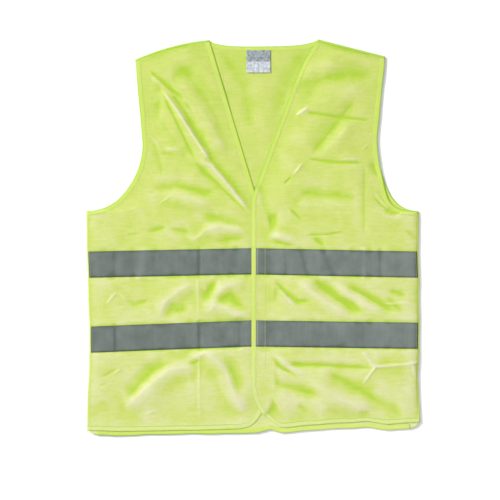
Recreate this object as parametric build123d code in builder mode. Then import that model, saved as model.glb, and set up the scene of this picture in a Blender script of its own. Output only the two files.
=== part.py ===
from build123d import *
import os

# A sleeveless high visibility vest, lying flat on its back with its front up.
# Millimetres, +Z up, +Y towards the collar.  "left" and "right" are the wearer's, so left is +X.
# The wearer's left front lies on top of the right front and hides its edge.

# Cloth and trim
CLOTH = 0.5             # knitted panel
TAPE = 0.4              # reflective tape
TAPE_WIDTH = 50.0
TAPE_GAP = 0.5          # between a tape's end and the binding or fastener beside it
LEG = 0.3               # binding cloth on each side of the edge it wraps
BINDING = 8.5           # width of the binding along an edge
SEAM = 5.5              # width of a side seam
SHOULDER_SEAM = 7.0     # width of a shoulder seam
FASTENER = 0.8          # hook strip or loop strip
FASTENER_WIDTH = 17.0

# Heights of the three layers: the undersides of the panels
BACK_Z = TAPE
RIGHT_Z = 7.0
LEFT_Z = 9.6

# Cut of the garment, seen from the front
HALF_WIDTH = 316.5
HALF_LENGTH = 375.0
NECK_LEFT = (124.5, HALF_LENGTH)
NECK_RIGHT = (-80.0, 373.0)
TIP_LEFT = (253.5, 342.0)
TIP_RIGHT = (-221.5, 335.5)
SHOULDER_LEFT = (189.0, 358.5)      # middle of each shoulder line; the right one is bowed
SHOULDER_RIGHT = (-152.4, 360.5)
ARMPIT_Y = 50.0
HOLLOW_LEFT = (239.0, 189.0)        # innermost point of each armhole
HOLLOW_RIGHT = (-207.5, 180.0)
ARMHOLE_RADIUS = {1: 60.0, -1: 95.0}    # of the curve into each armpit, left and right
BACK_NECK = (22.0, 363.0)           # lowest point of the back neckline
VEE_LEFT = (0.0, 75.0)              # where the left neck edge meets the front edge
VEE_LEFT_BEND = (84.0, 300.0)       # above here the left neck edge curves outwards
VEE_RIGHT = (36.0, -13.0)           # the same point of the right front, hidden by the left front
HEM_CORNER = 18.0
FRONT_CORNER_Y = -275.0             # each front's lower corner is cut away in a long curve
FRONT_CORNER_WIDTH = 60.0
FRONT_CORNER_RADIUS = 42.0
HEM_ROUNDING = 0.26                 # what the rounded corner takes off the slanted back hem
BACK_HEM = (-HALF_LENGTH - HEM_ROUNDING, -366.0)    # each hem, at the wearer's right and left ends
RIGHT_HEM = (-367.0, -363.0)
LEFT_HEM = (-360.0, -354.0)
SIDE_SEAM_END = -342.0

# Fold lines, about which the fronts open: a point above the neck and one at the hem
FOLD_GAP = 0.4
FOLD_LEFT = ((110.0, 372.0), (250.0, -375.0))
FOLD_RIGHT = ((-70.0, 372.0), (-128.0, -375.0))

# Tapes: the height of the top edge at the middle of the front and at the side seam
UPPER_TAPE = {"left": (-20.0, -26.5), "right": (-20.0, -26.5), "back": (-23.0, -23.0)}
LOWER_TAPE = {"left": (-157.5, -162.0), "right": (-157.5, -169.5), "back": (-163.0, -163.0)}

# Front fastening and neck labels
FASTENER_X = 9.5
FASTENER_Y = (-250.0, -24.0)
LABEL_WIDTH = 46.0
CARE_LABEL_LENGTH = 43.0
SIZE_LABEL_LENGTH = 21.0
LABEL_THICKNESS = 0.4
LABEL_X = 13.0
LABEL_TOP = 352.5
LABEL_LIFT = 0.3                    # of the care label above the back panel
LABEL_Z = BACK_Z + CLOTH + LABEL_LIFT

FAR = 2 * HALF_LENGTH               # beyond the garment on every side


def write(piece):
    """Writes a finished piece under its own label."""
    export_step(piece.part, f"parts/{piece.part.label}.step")


def polygon(*points):
    """A flat region with straight edges."""
    with BuildSketch() as flat:
        with BuildLine():
            Polyline(*points, close=True)
        make_face()
    return flat.sketch


def region(base, inside=(), without=()):
    """What is left of a flat region inside every mask and outside every cut."""
    with BuildSketch() as flat:
        add(base)
        for mask in inside:
            add(mask, mode=Mode.INTERSECT)
        for cut in without:
            add(cut, mode=Mode.SUBTRACT)
    return flat.sketch


def shrunk(outline, amount):
    """An outline moved inwards all round."""
    with BuildSketch() as flat:
        offset(outline, amount=-amount)
    return flat.sketch


def slab(flat, low, high, mode=Mode.ADD):
    """Extrudes a flat region between two heights, in the current part."""
    extrude(Plane.XY.offset(low) * flat, amount=high - low, dir=(0, 0, 1), mode=mode)


def wrapped(band, panel, panel_z):
    """Binding of U section round a panel's edge, in the current part."""
    slab(band, panel_z - LEG, panel_z + CLOTH + LEG)
    slab(panel, panel_z, panel_z + CLOTH, mode=Mode.SUBTRACT)


def hollow_curve(start, end, radius):
    """Two tangent arcs: down from start, then outwards to end, the second of the given radius."""
    wide = abs(end[0] - start[0])
    deep = start[1] - end[1]
    side = 1 if end[0] > start[0] else -1
    first = (wide**2 + deep**2 - 2 * deep * radius) / (2 * (wide - radius))
    first_centre = Vector(start[0] + side * first, start[1])
    second_centre = Vector(end[0], end[1] + radius)
    meeting = first_centre + (second_centre - first_centre) * (first / (first - radius))
    upper = TangentArc(start, meeting, tangent=(0, -1))
    TangentArc(meeting, end, tangent=upper % 1)


def armhole(tip, hollow, side):
    """One armhole's edge, from the shoulder tip to the armpit, in the current line."""
    Line(tip, hollow)
    hollow_curve(hollow, (side * HALF_WIDTH, ARMPIT_Y), ARMHOLE_RADIUS[side])


# The three cuts of cloth, out to the outer edge of their binding
with BuildSketch() as back_cut:
    with BuildLine():
        armhole(TIP_LEFT, HOLLOW_LEFT, 1)
        armhole(TIP_RIGHT, HOLLOW_RIGHT, -1)
        ThreePointArc(NECK_RIGHT, BACK_NECK, NECK_LEFT)
        Line(NECK_LEFT, TIP_LEFT)
        ThreePointArc(NECK_RIGHT, SHOULDER_RIGHT, TIP_RIGHT)
        Polyline(
            (HALF_WIDTH, ARMPIT_Y),
            (HALF_WIDTH, BACK_HEM[1]),
            (-HALF_WIDTH, BACK_HEM[0]),
            (-HALF_WIDTH, ARMPIT_Y),
        )
    make_face()
    fillet(back_cut.vertices().sort_by(Axis.Y)[:2], radius=HEM_CORNER)
back_outline = back_cut.sketch

with BuildSketch() as left_cut:
    with BuildLine():
        armhole(TIP_LEFT, HOLLOW_LEFT, 1)
        Line(NECK_LEFT, TIP_LEFT)
        neck_edge = Line(VEE_LEFT, VEE_LEFT_BEND)
        TangentArc(VEE_LEFT_BEND, NECK_LEFT, tangent=neck_edge % 1)
        Line(VEE_LEFT, (0, FRONT_CORNER_Y))
        hollow_curve((0, FRONT_CORNER_Y), (FRONT_CORNER_WIDTH, LEFT_HEM[0]), FRONT_CORNER_RADIUS)
        Polyline(
            (FRONT_CORNER_WIDTH, LEFT_HEM[0]),
            (HALF_WIDTH, LEFT_HEM[1]),
            (HALF_WIDTH, ARMPIT_Y),
        )
    make_face()
left_outline = left_cut.sketch

with BuildSketch() as right_cut:
    with BuildLine():
        armhole(TIP_RIGHT, HOLLOW_RIGHT, -1)
        ThreePointArc(NECK_RIGHT, SHOULDER_RIGHT, TIP_RIGHT)
        corner_top = (VEE_RIGHT[0], FRONT_CORNER_Y)
        corner_foot = (VEE_RIGHT[0] - FRONT_CORNER_WIDTH, RIGHT_HEM[1])
        Polyline(NECK_RIGHT, VEE_RIGHT, corner_top)
        hollow_curve(corner_top, corner_foot, FRONT_CORNER_RADIUS)
        Polyline(corner_foot, (-HALF_WIDTH, RIGHT_HEM[0]), (-HALF_WIDTH, ARMPIT_Y))
    make_face()
right_outline = right_cut.sketch

# Zones that share the cloth out between panels, seams and bindings.
# Each is generous outside the garment, because an outline always trims it.
def shoulder_zone(neck, middle, tip, side):
    """The strip under one shoulder line that its seam takes."""
    return polygon(
        (neck[0] - side * SEAM, neck[1] + BINDING),
        (middle[0], middle[1] + BINDING),
        (tip[0] + side * SEAM, tip[1] + BINDING),
        (tip[0] + side * SEAM, tip[1] - SHOULDER_SEAM),
        (middle[0], middle[1] - SHOULDER_SEAM),
        (neck[0] - side * SEAM, neck[1] - SHOULDER_SEAM),
    )


def side_zone(side):
    """The strip along one side edge that its seam takes."""
    inner = side * (HALF_WIDTH - SEAM)
    return polygon(
        (inner, SIDE_SEAM_END),
        (side * FAR, SIDE_SEAM_END),
        (side * FAR, ARMPIT_Y + SEAM),
        (inner, ARMPIT_Y + SEAM),
    )


def armhole_zone(tip, hollow, side):
    """Everything near one armhole that its binding may take."""
    return polygon(
        (tip[0] - side * BINDING, FAR),
        (hollow[0] - side * BINDING, hollow[1]),
        (hollow[0] - side * 2 * BINDING, ARMPIT_Y + BINDING),
        (hollow[0] + side * 2 * BINDING, ARMPIT_Y - BINDING),
        (side * FAR, ARMPIT_Y - BINDING),
        (side * FAR, FAR),
    )


def fold_zone(fold, gap):
    """The half of the garment on the +X side of a fold line, moved by a gap along X."""
    (top_x, top_y), (foot_x, foot_y) = fold
    slope = (foot_x - top_x) / (top_y - foot_y)
    return polygon(
        (top_x - slope * (FAR - top_y) + gap, FAR),
        (FAR, FAR),
        (FAR, -FAR),
        (foot_x + slope * (FAR + foot_y) + gap, -FAR),
    )


everything = polygon((-FAR, -FAR), (FAR, -FAR), (FAR, FAR), (-FAR, FAR))
hem_zone = polygon((-FAR, -FAR), (FAR, -FAR), (FAR, SIDE_SEAM_END), (-FAR, SIDE_SEAM_END))
neck_zone = polygon(
    (NECK_RIGHT[0] - BINDING, ARMPIT_Y),
    (NECK_LEFT[0] + BINDING, ARMPIT_Y),
    (NECK_LEFT[0] + BINDING, FAR),
    (NECK_RIGHT[0] - BINDING, FAR),
)
back_band = region(back_outline, without=[shrunk(back_outline, BINDING)])
back_panel_shape = shrunk(back_outline, LEG)

SIDES = {
    "left": {
        "side": 1,
        "outline": left_outline,
        "z": LEFT_Z,
        "neck": NECK_LEFT,
        "shoulder": SHOULDER_LEFT,
        "tip": TIP_LEFT,
        "hollow": HOLLOW_LEFT,
        "fixed_zone": fold_zone(FOLD_LEFT, FOLD_GAP / 2),
        "flap_zone": region(everything, without=[fold_zone(FOLD_LEFT, -FOLD_GAP / 2)]),
        "tape_end": BINDING + TAPE_GAP,
    },
    "right": {
        "side": -1,
        "outline": right_outline,
        "z": RIGHT_Z,
        "neck": NECK_RIGHT,
        "shoulder": SHOULDER_RIGHT,
        "tip": TIP_RIGHT,
        "hollow": HOLLOW_RIGHT,
        "fixed_zone": region(everything, without=[fold_zone(FOLD_RIGHT, -FOLD_GAP / 2)]),
        "flap_zone": fold_zone(FOLD_RIGHT, FOLD_GAP / 2),
        "tape_end": FASTENER_X - TAPE_GAP,
    },
}
for data in SIDES.values():
    data["band"] = region(data["outline"], without=[shrunk(data["outline"], BINDING)])
    data["panel"] = shrunk(data["outline"], LEG)
    data["side_zone"] = side_zone(data["side"])
    data["shoulder_zone"] = shoulder_zone(
        data["neck"], data["shoulder"], data["tip"], data["side"]
    )
    data["armhole_zone"] = armhole_zone(data["tip"], data["hollow"], data["side"])
    data["seams"] = [data["side_zone"], data["shoulder_zone"]]
    data["shared"] = region(data["outline"], inside=[back_outline])
all_seams = SIDES["left"]["seams"] + SIDES["right"]["seams"]
shoulder_seams = [data["shoulder_zone"] for data in SIDES.values()]

os.makedirs("parts", exist_ok=True)

# Back: panel, tapes and hem
with BuildPart() as back_panel:
    slab(region(back_panel_shape, without=all_seams), BACK_Z, BACK_Z + CLOTH)
back_panel.part.label = "back_panel"
write(back_panel)

for tape_name, tops in (("upper", UPPER_TAPE), ("lower", LOWER_TAPE)):
    with BuildPart() as back_tape:
        top = tops["back"][0]
        reach = HALF_WIDTH - SEAM
        shape = polygon(
            (-reach, top - TAPE_WIDTH), (reach, top - TAPE_WIDTH), (reach, top), (-reach, top)
        )
        slab(shape, 0, BACK_Z)
    back_tape.part.label = f"back_{tape_name}_tape"
    write(back_tape)

with BuildPart() as back_hem:
    hem_band = region(back_band, inside=[hem_zone])
    slab(hem_band, BACK_Z - LEG, BACK_Z + CLOTH + LEG)
    slab(back_panel_shape, BACK_Z, BACK_Z + CLOTH, mode=Mode.SUBTRACT)
back_hem.part.label = "back_hem_binding"
write(back_hem)

# Neck binding: the back neckline, round each neck point and down to the fold lines
with BuildPart() as neck_binding:
    wrapped(region(back_band, inside=[neck_zone], without=shoulder_seams), back_panel_shape, BACK_Z)
    for data in SIDES.values():
        stub_zones = [neck_zone, data["fixed_zone"]]
        stub = region(data["band"], inside=stub_zones, without=[data["shoulder_zone"]])
        wrapped(stub, data["panel"], data["z"])
    for data in SIDES.values():
        bridge = region(data["shared"], inside=[neck_zone, data["shoulder_zone"]])
        slab(bridge, BACK_Z - LEG, data["z"] + CLOTH + LEG)
neck_binding.part.label = "neck_binding"
write(neck_binding)

for name, data in SIDES.items():
    z = data["z"]

    # Seams that join the front to the back
    with BuildPart() as shoulder_seam:
        shape = region(
            data["shared"],
            inside=[data["shoulder_zone"]],
            without=[data["armhole_zone"], neck_zone],
        )
        slab(shape, BACK_Z, z + CLOTH)
    shoulder_seam.part.label = f"{name}_shoulder_seam"
    write(shoulder_seam)

    with BuildPart() as side_seam:
        shape = region(data["shared"], inside=[data["side_zone"]], without=[data["armhole_zone"]])
        slab(shape, BACK_Z, z + CLOTH)
    side_seam.part.label = f"{name}_side_seam"
    write(side_seam)

    # Armhole binding: one closed loop round the back and front edges of the armhole
    with BuildPart() as armhole_binding:
        back_edge = region(back_band, inside=[data["armhole_zone"]], without=data["seams"])
        wrapped(back_edge, back_panel_shape, BACK_Z)
        front_edge = region(data["band"], inside=[data["armhole_zone"]], without=data["seams"])
        wrapped(front_edge, data["panel"], z)
        for zone in data["seams"]:
            bridge = region(data["shared"], inside=[data["armhole_zone"], zone])
            slab(bridge, BACK_Z - LEG, z + CLOTH + LEG)
    armhole_binding.part.label = f"{name}_armhole_binding"
    write(armhole_binding)

    # Front panel, in two halves either side of its fold line
    cloth = region(data["panel"], without=data["seams"])
    for half, zone in (("side", data["fixed_zone"]), ("flap", data["flap_zone"])):
        with BuildPart() as front:
            slab(region(cloth, inside=[zone]), z, z + CLOTH)
        front.part.label = f"{name}_front_{half}"
        write(front)

    # Binding of the free edge and hem, also in two lengths
    with BuildPart() as front_binding:
        wrapped(region(data["band"], inside=[data["flap_zone"]]), data["panel"], z)
    front_binding.part.label = f"{name}_front_binding"
    write(front_binding)

    with BuildPart() as front_hem:
        wrapped(
            region(data["band"], inside=[data["fixed_zone"], hem_zone]),
            data["panel"],
            z,
        )
    front_hem.part.label = f"{name}_hem_binding"
    write(front_hem)

    # Reflective tapes, which run from the side seam to the free edge
    for tape_name, tops in (("upper", UPPER_TAPE), ("lower", LOWER_TAPE)):
        middle, outer = tops[name]
        reach = data["side"] * (HALF_WIDTH - SEAM)
        strip = polygon(
            (data["tape_end"], middle),
            (reach, outer),
            (reach, outer - TAPE_WIDTH),
            (data["tape_end"], middle - TAPE_WIDTH),
        )
        for half, zone in (("side", data["fixed_zone"]), ("flap", data["flap_zone"])):
            with BuildPart() as tape:
                slab(region(strip, inside=[zone]), z + CLOTH, z + CLOTH + TAPE)
            tape.part.label = f"{name}_{tape_name}_tape_{half}"
            write(tape)

# Front fastening: loops on the right front, hooks behind the left front
fastener = polygon(
    (FASTENER_X, FASTENER_Y[0]),
    (FASTENER_X + FASTENER_WIDTH, FASTENER_Y[0]),
    (FASTENER_X + FASTENER_WIDTH, FASTENER_Y[1]),
    (FASTENER_X, FASTENER_Y[1]),
)
with BuildPart() as loop_strip:
    slab(fastener, RIGHT_Z + CLOTH, RIGHT_Z + CLOTH + FASTENER)
loop_strip.part.label = "loop_strip"
write(loop_strip)

with BuildPart() as hook_strip:
    slab(fastener, LEFT_Z - FASTENER, LEFT_Z)
hook_strip.part.label = "hook_strip"
write(hook_strip)

# Neck labels: a short size label on top of a longer care label, both sewn in along one edge
for label_name, length, low in (
    ("care_label", CARE_LABEL_LENGTH, LABEL_Z),
    ("size_label", SIZE_LABEL_LENGTH, LABEL_Z + LABEL_THICKNESS),
):
    with BuildPart() as tab:
        shape = polygon(
            (LABEL_X - LABEL_WIDTH / 2, LABEL_TOP - length),
            (LABEL_X + LABEL_WIDTH / 2, LABEL_TOP - length),
            (LABEL_X + LABEL_WIDTH / 2, LABEL_TOP),
            (LABEL_X - LABEL_WIDTH / 2, LABEL_TOP),
        )
        slab(shape, low, low + LABEL_THICKNESS)
    tab.part.label = label_name
    write(tab)
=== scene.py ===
import bmesh
import bpy
import numpy as np
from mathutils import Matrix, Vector


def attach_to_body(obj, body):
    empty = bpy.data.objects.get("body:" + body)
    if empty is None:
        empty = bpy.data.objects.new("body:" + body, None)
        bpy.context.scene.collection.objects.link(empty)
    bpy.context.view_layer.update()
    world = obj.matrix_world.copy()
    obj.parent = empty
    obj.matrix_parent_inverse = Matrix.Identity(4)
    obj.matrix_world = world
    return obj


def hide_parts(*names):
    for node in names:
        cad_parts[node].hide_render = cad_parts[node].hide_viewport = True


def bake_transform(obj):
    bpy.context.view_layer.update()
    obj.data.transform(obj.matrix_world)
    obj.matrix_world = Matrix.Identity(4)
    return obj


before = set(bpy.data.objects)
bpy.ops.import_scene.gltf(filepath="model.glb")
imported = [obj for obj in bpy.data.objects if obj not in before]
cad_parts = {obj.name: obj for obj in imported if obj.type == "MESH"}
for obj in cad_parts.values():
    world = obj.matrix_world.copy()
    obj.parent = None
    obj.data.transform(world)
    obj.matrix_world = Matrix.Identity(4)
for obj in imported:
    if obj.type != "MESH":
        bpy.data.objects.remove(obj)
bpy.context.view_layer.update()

# A lime-yellow high visibility vest, lying flat on its back.  The CAD frame is in metres with +Y to the
# collar; the cut of the cloth below is in millimetres, and meshes are made in metres by MM.
# "left" and "right" are the wearer's: left is +X.
MM = 0.001
CLOTH = 0.5                     # thickness of the knitted panels
TAPE = 0.4                      # and of the reflective tape
TAPE_WIDTH = 50.0
TAPE_START = {"left": 8.0, "right": 30.0}      # X of a front tape's inner end
TAPE_END_GAP = 2.5              # between its other end and the side edge
TAPE_CALM = 0.8                 # how much of the creases and waves a tape irons out
STRIP = 0.7                     # thickness of the hook and loop strips
LABEL = 0.3                     # and of the neck labels
FAR = 1e3                       # stands for a distance that doesn't matter
GRID = 2.3                      # spacing of the front panels' mesh
BACK_GRID = 3.4                 # and of the back's, which is calmer

HALF_WIDTH = 316.5
# Each side's neck point, shoulder tip and the armhole's innermost point
NECK = {"left": (124.5, 375.0), "right": (-80.0, 373.0)}
TIP = {"left": (253.5, 342.0), "right": (-221.5, 335.5)}
HOLLOW = {"left": (239.0, 189.0), "right": (-207.5, 180.0)}
ARMHOLE_RADIUS = {"left": 60.0, "right": 95.0}
SIDE = {"left": 1, "right": -1}
ARMPIT_Y = 50.0
BACK_NECK_DIP = 9.5             # how far the back neckline hangs below the neck points
SHOULDER_BOW = {"left": 0.0, "right": 6.5}     # how far each shoulder line bulges
TILT_Y = 100.0                  # the mesh's rows are level below this and turn to the shoulders above it
# The left front's neck edge starts at this height, leans at this slope and bends above the next height;
# the right front's ends at this point
VEE_LEFT_Y = 75.0
VEE_LEFT_SLOPE = 84.0 / 225.0
VEE_LEFT_BEND = 300.0
VEE_LEFT_CURVE = 12.5 / 75.0**2
VEE_RIGHT = (36.0, -13.0)
HEM = {"left": (-360.0, -354.0), "right": (-363.0, -367.0), "back": (-375.0, -366.0)}
HEM_CORNER = 18.0
FREE_EDGE = {"left": 0.0, "right": 36.0}
FRONT_CORNER_Y = -275.0
FRONT_CORNER_WIDTH = 60.0
FRONT_CORNER_RADIUS = 42.0
TAPE_LEVELS = ("upper", "lower")
# Height of each tape's upper edge, in the middle of the vest and at its side
TAPE_TOP = {
    ("left", "upper"): (-20.0, -26.5),
    ("right", "upper"): (-20.0, -26.5),
    ("left", "lower"): (-157.5, -162.0),
    ("right", "lower"): (-157.5, -169.5),
    ("back", "upper"): (-23.0, -23.0),
    ("back", "lower"): (-163.0, -163.0),
}
FASTENER_X = (9.5, 26.5)
FASTENER_Y = (-250.0, -24.0)
LABEL_X = 13.0
LABEL_TOP = 357.5
LABEL_WIDTH = 46.0
LABEL_LENGTH = {"care_label": 43.0, "size_label": 21.0}
LABEL_CURL = 0.9                # how far the care label's foot stands up
CREASE_DEPTH = 0.9              # how deep the creases below are pressed
CREST_LINE = 0.4                # the thin pressed line along a sharp crease, as a share of its height,
CREST_WIDTH = 2.4               # and half its width
THIN_WIDTH = 20                 # a sharp crease that is narrower than this on both sides is a thin one,
THIN_DEPTH = 0.72               # this deep beside its listed height
FADE_OUT = 34.0                 # length over which a crease fades in and out at its ends,
THIN_FADE_OUT = 18.0            # and a thin one


# ---- small maths

def smooth(t):
    """0 below 0, 1 above 1, with no corner between."""
    t = np.clip(t, 0.0, 1.0)
    return t * t * (3.0 - 2.0 * t)


def mix(a, b, t):
    return a + (b - a) * t


def noise(x, y, scale, seed):
    """Smooth random hills between about -1 and 1, one every scale millimetres."""
    size = 64
    table = np.random.default_rng(seed).uniform(-1.0, 1.0, (size, size))
    u = np.asarray(x, float) / scale + 31.7
    v = np.asarray(y, float) / scale + 17.3
    i = np.floor(u).astype(int)
    j = np.floor(v).astype(int)
    fu = smooth(u - i)
    fv = smooth(v - j)
    low = mix(table[i % size, j % size], table[(i + 1) % size, j % size], fu)
    high = mix(table[i % size, (j + 1) % size], table[(i + 1) % size, (j + 1) % size], fu)
    return mix(low, high, fv)


def run_along(path):
    """Distance along a path at each of its points."""
    return np.concatenate([[0], np.cumsum(np.linalg.norm(np.diff(path, axis=0), axis=1))])


def hollow_x(y, start, end, radius):
    """X of the two tangent arcs that run down from start and outwards to end, at height y."""
    wide = abs(end[0] - start[0])
    deep = start[1] - end[1]
    side = 1 if end[0] > start[0] else -1
    first = (wide**2 + deep**2 - 2 * deep * radius) / (2 * (wide - radius))
    upper = np.array([start[0] + side * first, start[1]])
    lower = np.array([end[0], end[1] + radius])
    meeting = upper + (lower - upper) * first / (first - radius)
    on_upper = upper[0] - side * np.sqrt(np.clip(first**2 - (y - upper[1]) ** 2, 0, None))
    on_lower = lower[0] - side * np.sqrt(np.clip(radius**2 - (y - lower[1]) ** 2, 0, None))
    return np.where(y > meeting[1], on_upper, on_lower)


# ---- the cut of each panel

def outer_x(y, side):
    """X of the side edge and armhole, from the hem up to the shoulder tip."""
    tip, hollow, sign = TIP[side], HOLLOW[side], SIDE[side]
    above = hollow[0] + (y - hollow[1]) * (tip[0] - hollow[0]) / (tip[1] - hollow[1])
    curve = hollow_x(y, hollow, (sign * HALF_WIDTH, ARMPIT_Y), ARMHOLE_RADIUS[side])
    return np.where(y < ARMPIT_Y, sign * HALF_WIDTH, np.where(y < hollow[1], curve, above))


def free_edge_x(y, side):
    """X of a front's free edge: the neck edge above, the straight front edge below."""
    neck = NECK[side]
    start = (FREE_EDGE[side], FRONT_CORNER_Y)
    hem_point = (FREE_EDGE[side] + SIDE[side] * FRONT_CORNER_WIDTH, HEM[side][0])
    corner = hollow_x(y, start, hem_point, FRONT_CORNER_RADIUS)
    below = np.where(y > FRONT_CORNER_Y, FREE_EDGE[side], corner)
    if side == "left":
        neck_edge = VEE_LEFT_SLOPE * (y - VEE_LEFT_Y)
        neck_edge = neck_edge + VEE_LEFT_CURVE * np.clip(y - VEE_LEFT_BEND, 0, None) ** 2
        return np.where(y > VEE_LEFT_Y, neck_edge, below)
    slope = (VEE_RIGHT[0] - neck[0]) / (VEE_RIGHT[1] - neck[1])
    return np.where(y > VEE_RIGHT[1], neck[0] + (y - neck[1]) * slope, below)


def shoulder_y(x, side):
    """Height of one shoulder line."""
    (neck_x, neck_y), (tip_x, tip_y) = NECK[side], TIP[side]
    t = (x - neck_x) / (tip_x - neck_x)
    inside = np.clip(t, 0, 1)
    return neck_y + (tip_y - neck_y) * t + 4 * SHOULDER_BOW[side] * inside * (1 - inside)


def back_top_y(x):
    """Height of the back panel's top edge: shoulder, neckline, shoulder."""
    (left_x, left_y), (right_x, right_y) = NECK["left"], NECK["right"]
    t = np.clip((x - right_x) / (left_x - right_x), 0, 1)
    neckline = mix(right_y, left_y, t) - BACK_NECK_DIP * (1 - (2 * t - 1) ** 4)
    outside = np.where(x > left_x, shoulder_y(x, "left"), shoulder_y(x, "right"))
    return np.where((x > left_x) | (x < right_x), outside, neckline)


def tape_top_y(panel, level, x):
    """Height of a tape's upper edge on its panel."""
    middle, outer = TAPE_TOP[(panel, level)]
    return middle + (outer - middle) * np.abs(x) / HALF_WIDTH


def row_heights(low, high, spacing=GRID):
    """Heights of a panel's rows, closer together where the armhole runs almost level."""
    below = np.linspace(low, ARMPIT_Y, int((ARMPIT_Y - low) / spacing))
    level = ARMPIT_Y + 14.0 * np.linspace(0, 1, 16)[1:] ** 2
    above = np.linspace(level[-1], high, int((high - level[-1]) / spacing))[1:]
    return np.concatenate([below, level, above])


def front_cut(side, columns=138):
    """Pattern coordinates of one front: rows from hem to shoulder, columns from free edge outwards."""
    tip_y, neck_y = TIP[side][1], NECK[side][1]
    hem_in, hem_out = HEM[side]
    outer_y = row_heights(hem_out, tip_y)
    lift = np.clip((outer_y - TILT_Y) / (tip_y - TILT_Y), 0, 1) * (neck_y - tip_y)
    drop = (hem_in - hem_out) * np.clip(1 - (outer_y - hem_out) / 60.0, 0, 1)
    inner_y = outer_y + lift + drop
    inner = np.stack([free_edge_x(inner_y, side), inner_y], axis=1)
    outer = np.stack([outer_x(outer_y, side), outer_y], axis=1)
    u = np.linspace(0, 1, columns)[None, :, None]
    grid = inner[:, None, :] * (1 - u) + outer[:, None, :] * u
    bow = 4 * SHOULDER_BOW[side] * u[..., 0] * (1 - u[..., 0])
    grid[..., 1] += bow * smooth((grid[..., 1] - 250.0) / 90.0)
    return grid


def back_cut(columns=188):
    """Pattern coordinates of the back: rows from hem to shoulders, columns from right to left."""
    ends = {}
    for side, hem_y in (("right", HEM["back"][0]), ("left", HEM["back"][1])):
        y = row_heights(hem_y, TIP["right"][1], BACK_GRID)
        y = y + np.clip((y - TILT_Y) / (y[-1] - TILT_Y), 0, 1) * (TIP[side][1] - y[-1])
        x = outer_x(y, side)
        below = np.clip(hem_y + HEM_CORNER - y, 0, HEM_CORNER)
        x = x - SIDE[side] * (HEM_CORNER - np.sqrt(HEM_CORNER**2 - below**2))
        ends[side] = (x, y)
    rows = min(len(ends["left"][0]), len(ends["right"][0]))
    lined = {}
    for side, (x, y) in ends.items():
        at = np.linspace(0, len(x) - 1, rows)
        lined[side] = np.stack([np.interp(at, np.arange(len(x)), a) for a in (x, y)], axis=1)
    u = np.linspace(0, 1, columns)[None, :, None]
    grid = lined["right"][:, None, :] * (1 - u) + lined["left"][:, None, :] * u
    chord = grid[-1:, :, 1]
    grid[:, :, 1] += (back_top_y(grid[:, :, 0]) - chord) * smooth((grid[:, :, 1] - 240.0) / 100.0)
    return grid


# ---- creases

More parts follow.
